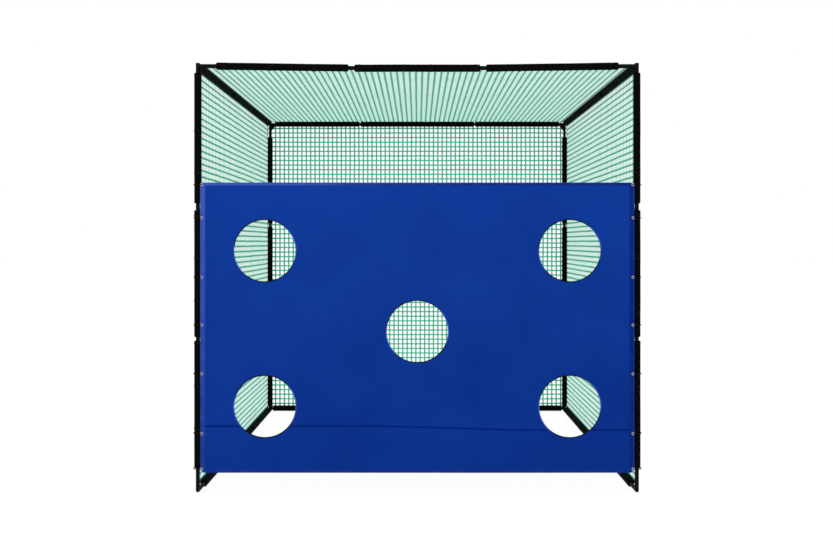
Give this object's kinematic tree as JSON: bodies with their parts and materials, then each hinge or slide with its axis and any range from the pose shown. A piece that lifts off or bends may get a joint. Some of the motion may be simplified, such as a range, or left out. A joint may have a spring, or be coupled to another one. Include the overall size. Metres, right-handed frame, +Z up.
{
  "type": "golf chipping net",
  "caption": "Free-standing cube cage of foam-sleeved steel poles, closed by square-mesh net at the back, sides and top, with a cloth target sheet with round holes tied across the front",
  "frame": {"origin": "on the floor, at the middle of the cage's bottom", "axes": "+X to the right as seen from the front, +Y from the target sheet to the back net, +Z up"},
  "size_m": [3.0826, 3.0723, 2.9627],
  "materials": {
    "black_steel": "satin powder coat",
    "black_foam": "closed-cell foam, matt skin",
    "green_net": "twisted polyethylene twine, knotted",
    "green_rope": "twisted border rope",
    "black_strap": "woven hook-and-loop strap",
    "blue_cloth": "coated polyester, flat weave",
    "blue_hem": "folded and sewn webbing",
    "eyelet_metal": "nickel-plated brass",
    "black_cord": "braided elastic cord"
  },
  "bodies": {
    "root": {"corner_top_front_left": "black_steel", "corner_top_front_right": "black_steel", "corner_top_rear_left": "black_steel", "corner_top_rear_right": "black_steel", "corner_bottom_rear_left": "black_steel", "corner_bottom_rear_right": "black_steel", "elbow_front_left": "black_steel", "elbow_front_right": "black_steel", "poles_front_top": "black_steel", "poles_rear_top": "black_steel", "poles_rear_bottom": "black_steel", "poles_upright_front_left": "black_steel", "poles_upright_front_right": "black_steel", "poles_upright_rear_left": "black_steel", "poles_upright_rear_right": "black_steel", "poles_rail_top_left": "black_steel", "poles_rail_top_right": "black_steel", "poles_rail_bottom_left": "black_steel", "poles_rail_bottom_right": "black_steel", "end_sleeves_front_top": "black_foam", "end_sleeves_rear_top": "black_foam", "end_sleeves_rear_bottom": "black_foam", "end_sleeves_upright_front_left": "black_foam", "end_sleeves_upright_front_right": "black_foam", "end_sleeves_upright_rear_left": "black_foam", "end_sleeves_upright_rear_right": "black_foam", "end_sleeves_rail_top_left": "black_foam", "end_sleeves_rail_top_right": "black_foam", "end_sleeves_rail_bottom_left": "black_foam", "end_sleeves_rail_bottom_right": "black_foam", "net_back": "green_net", "net_left": "green_net", "net_right": "green_net", "net_top": "green_net", "net_front_ropes": "green_rope", "net_bottom_ropes": "green_rope", "net_seam_ropes": "green_rope", "net_straps_front": "black_strap", "net_straps_bottom": "black_strap", "target_sheet": "blue_cloth", "hem_left": "blue_hem", "hem_right": "blue_hem", "hem_top": "blue_hem", "hem_bottom": "blue_hem", "hole_tapes": "blue_hem", "eyelets": "eyelet_metal", "sheet_ties": "black_cord"},
    "sleeve_front_top": {"middle_sleeve_front_top": "black_foam"},
    "sleeve_rear_top": {"middle_sleeve_rear_top": "black_foam"},
    "sleeve_rear_bottom": {"middle_sleeve_rear_bottom": "black_foam"},
    "sleeve_upright_front_left": {"middle_sleeve_upright_front_left": "black_foam"},
    "sleeve_upright_front_right": {"middle_sleeve_upright_front_right": "black_foam"},
    "sleeve_upright_rear_left": {"middle_sleeve_upright_rear_left": "black_foam"},
    "sleeve_upright_rear_right": {"middle_sleeve_upright_rear_right": "black_foam"},
    "sleeve_rail_top_left": {"middle_sleeve_rail_top_left": "black_foam"},
    "sleeve_rail_top_right": {"middle_sleeve_rail_top_right": "black_foam"},
    "sleeve_rail_bottom_left": {"middle_sleeve_rail_bottom_left": "black_foam"},
    "sleeve_rail_bottom_right": {"middle_sleeve_rail_bottom_right": "black_foam"}
  },
  "joints": [
    {"name": "slide_front_top", "type": "slide", "parent": "root", "child": "sleeve_front_top", "axis": [1, 0, 0], "range_m": [-0.044, 0.044]},
    {"name": "slide_rear_top", "type": "slide", "parent": "root", "child": "sleeve_rear_top", "axis": [1, 0, 0], "range_m": [-0.011, 0.011]},
    {"name": "slide_rear_bottom", "type": "slide", "parent": "root", "child": "sleeve_rear_bottom", "axis": [1, 0, 0], "range_m": [-0.034, 0.034]},
    {"name": "slide_upright_front_left", "type": "slide", "parent": "root", "child": "sleeve_upright_front_left", "axis": [0, 0, 1], "range_m": [-0.026, 0.046]},
    {"name": "slide_upright_front_right", "type": "slide", "parent": "root", "child": "sleeve_upright_front_right", "axis": [0, 0, 1], "range_m": [-0.026, 0.046]},
    {"name": "slide_upright_rear_left", "type": "slide", "parent": "root", "child": "sleeve_upright_rear_left", "axis": [0, 0, 1], "range_m": [-0.029, 0.029]},
    {"name": "slide_upright_rear_right", "type": "slide", "parent": "root", "child": "sleeve_upright_rear_right", "axis": [0, 0, 1], "range_m": [-0.029, 0.029]},
    {"name": "slide_rail_top_left", "type": "slide", "parent": "root", "child": "sleeve_rail_top_left", "axis": [0, 1, 0], "range_m": [-0.029, 0.034]},
    {"name": "slide_rail_top_right", "type": "slide", "parent": "root", "child": "sleeve_rail_top_right", "axis": [0, 1, 0], "range_m": [-0.029, 0.034]},
    {"name": "slide_rail_bottom_left", "type": "slide", "parent": "root", "child": "sleeve_rail_bottom_left", "axis": [0, 1, 0], "range_m": [-0.034, 0.034]},
    {"name": "slide_rail_bottom_right", "type": "slide", "parent": "root", "child": "sleeve_rail_bottom_right", "axis": [0, 1, 0], "range_m": [-0.034, 0.034]}
  ]
}
